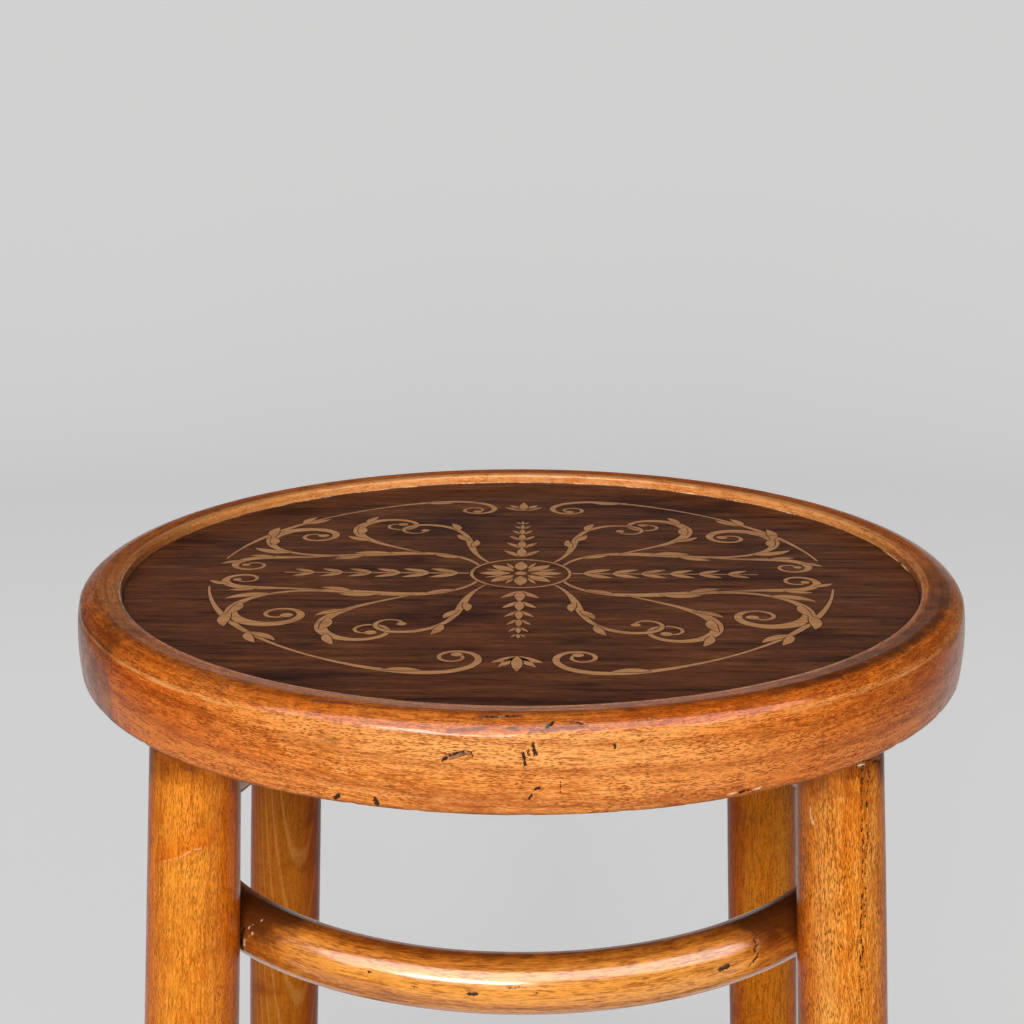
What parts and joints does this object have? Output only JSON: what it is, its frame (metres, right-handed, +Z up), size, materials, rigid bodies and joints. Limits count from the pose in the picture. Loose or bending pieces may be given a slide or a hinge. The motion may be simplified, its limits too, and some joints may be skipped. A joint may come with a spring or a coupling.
{
  "type": "bar stool",
  "caption": "Bentwood bar stool: a round seat panel let into a bent hoop, on splayed turned legs tied together by a small upper ring and a larger foot ring.",
  "frame": {"origin": "on the floor, under the centre of the seat", "axes": "+Z up, -Y towards the front, from where the picture is taken, +X to the picture's right"},
  "size_m": [0.36, 0.36, 0.76],
  "materials": {
    "hoop_beech": "steam-bent beech, stained amber and varnished, worn along the edges",
    "leg_beech": "turned beech, stained amber and varnished",
    "ring_beech": "steam-bent beech, stained amber and varnished",
    "walnut_veneer": "dark walnut veneer with pale inlay, oiled satin",
    "panel_ply": "raw birch veneer, darkened with age",
    "screw_steel": "old darkened steel",
    "glide_steel": "pressed steel, scuffed"
  },
  "bodies": {
    "root": {"seat_hoop": "hoop_beech", "seat_face_veneer": "walnut_veneer", "seat_core_ply": "panel_ply", "seat_back_veneer": "panel_ply", "upper_ring": "ring_beech", "foot_ring": "ring_beech", "leg_front_left": "leg_beech", "leg_front_right": "leg_beech", "leg_back_right": "leg_beech", "leg_back_left": "leg_beech", "upper_ring_screw_front_left": "screw_steel", "upper_ring_screw_front_right": "screw_steel", "upper_ring_screw_back_right": "screw_steel", "upper_ring_screw_back_left": "screw_steel", "foot_ring_screw_front_left": "screw_steel", "foot_ring_screw_front_right": "screw_steel", "foot_ring_screw_back_right": "screw_steel", "foot_ring_screw_back_left": "screw_steel", "tenon_screw_front_left": "screw_steel", "tenon_screw_front_right": "screw_steel", "tenon_screw_back_right": "screw_steel", "tenon_screw_back_left": "screw_steel", "glide_front_left": "glide_steel", "glide_front_right": "glide_steel", "glide_back_right": "glide_steel", "glide_back_left": "glide_steel"}
  },
  "joints": []
}
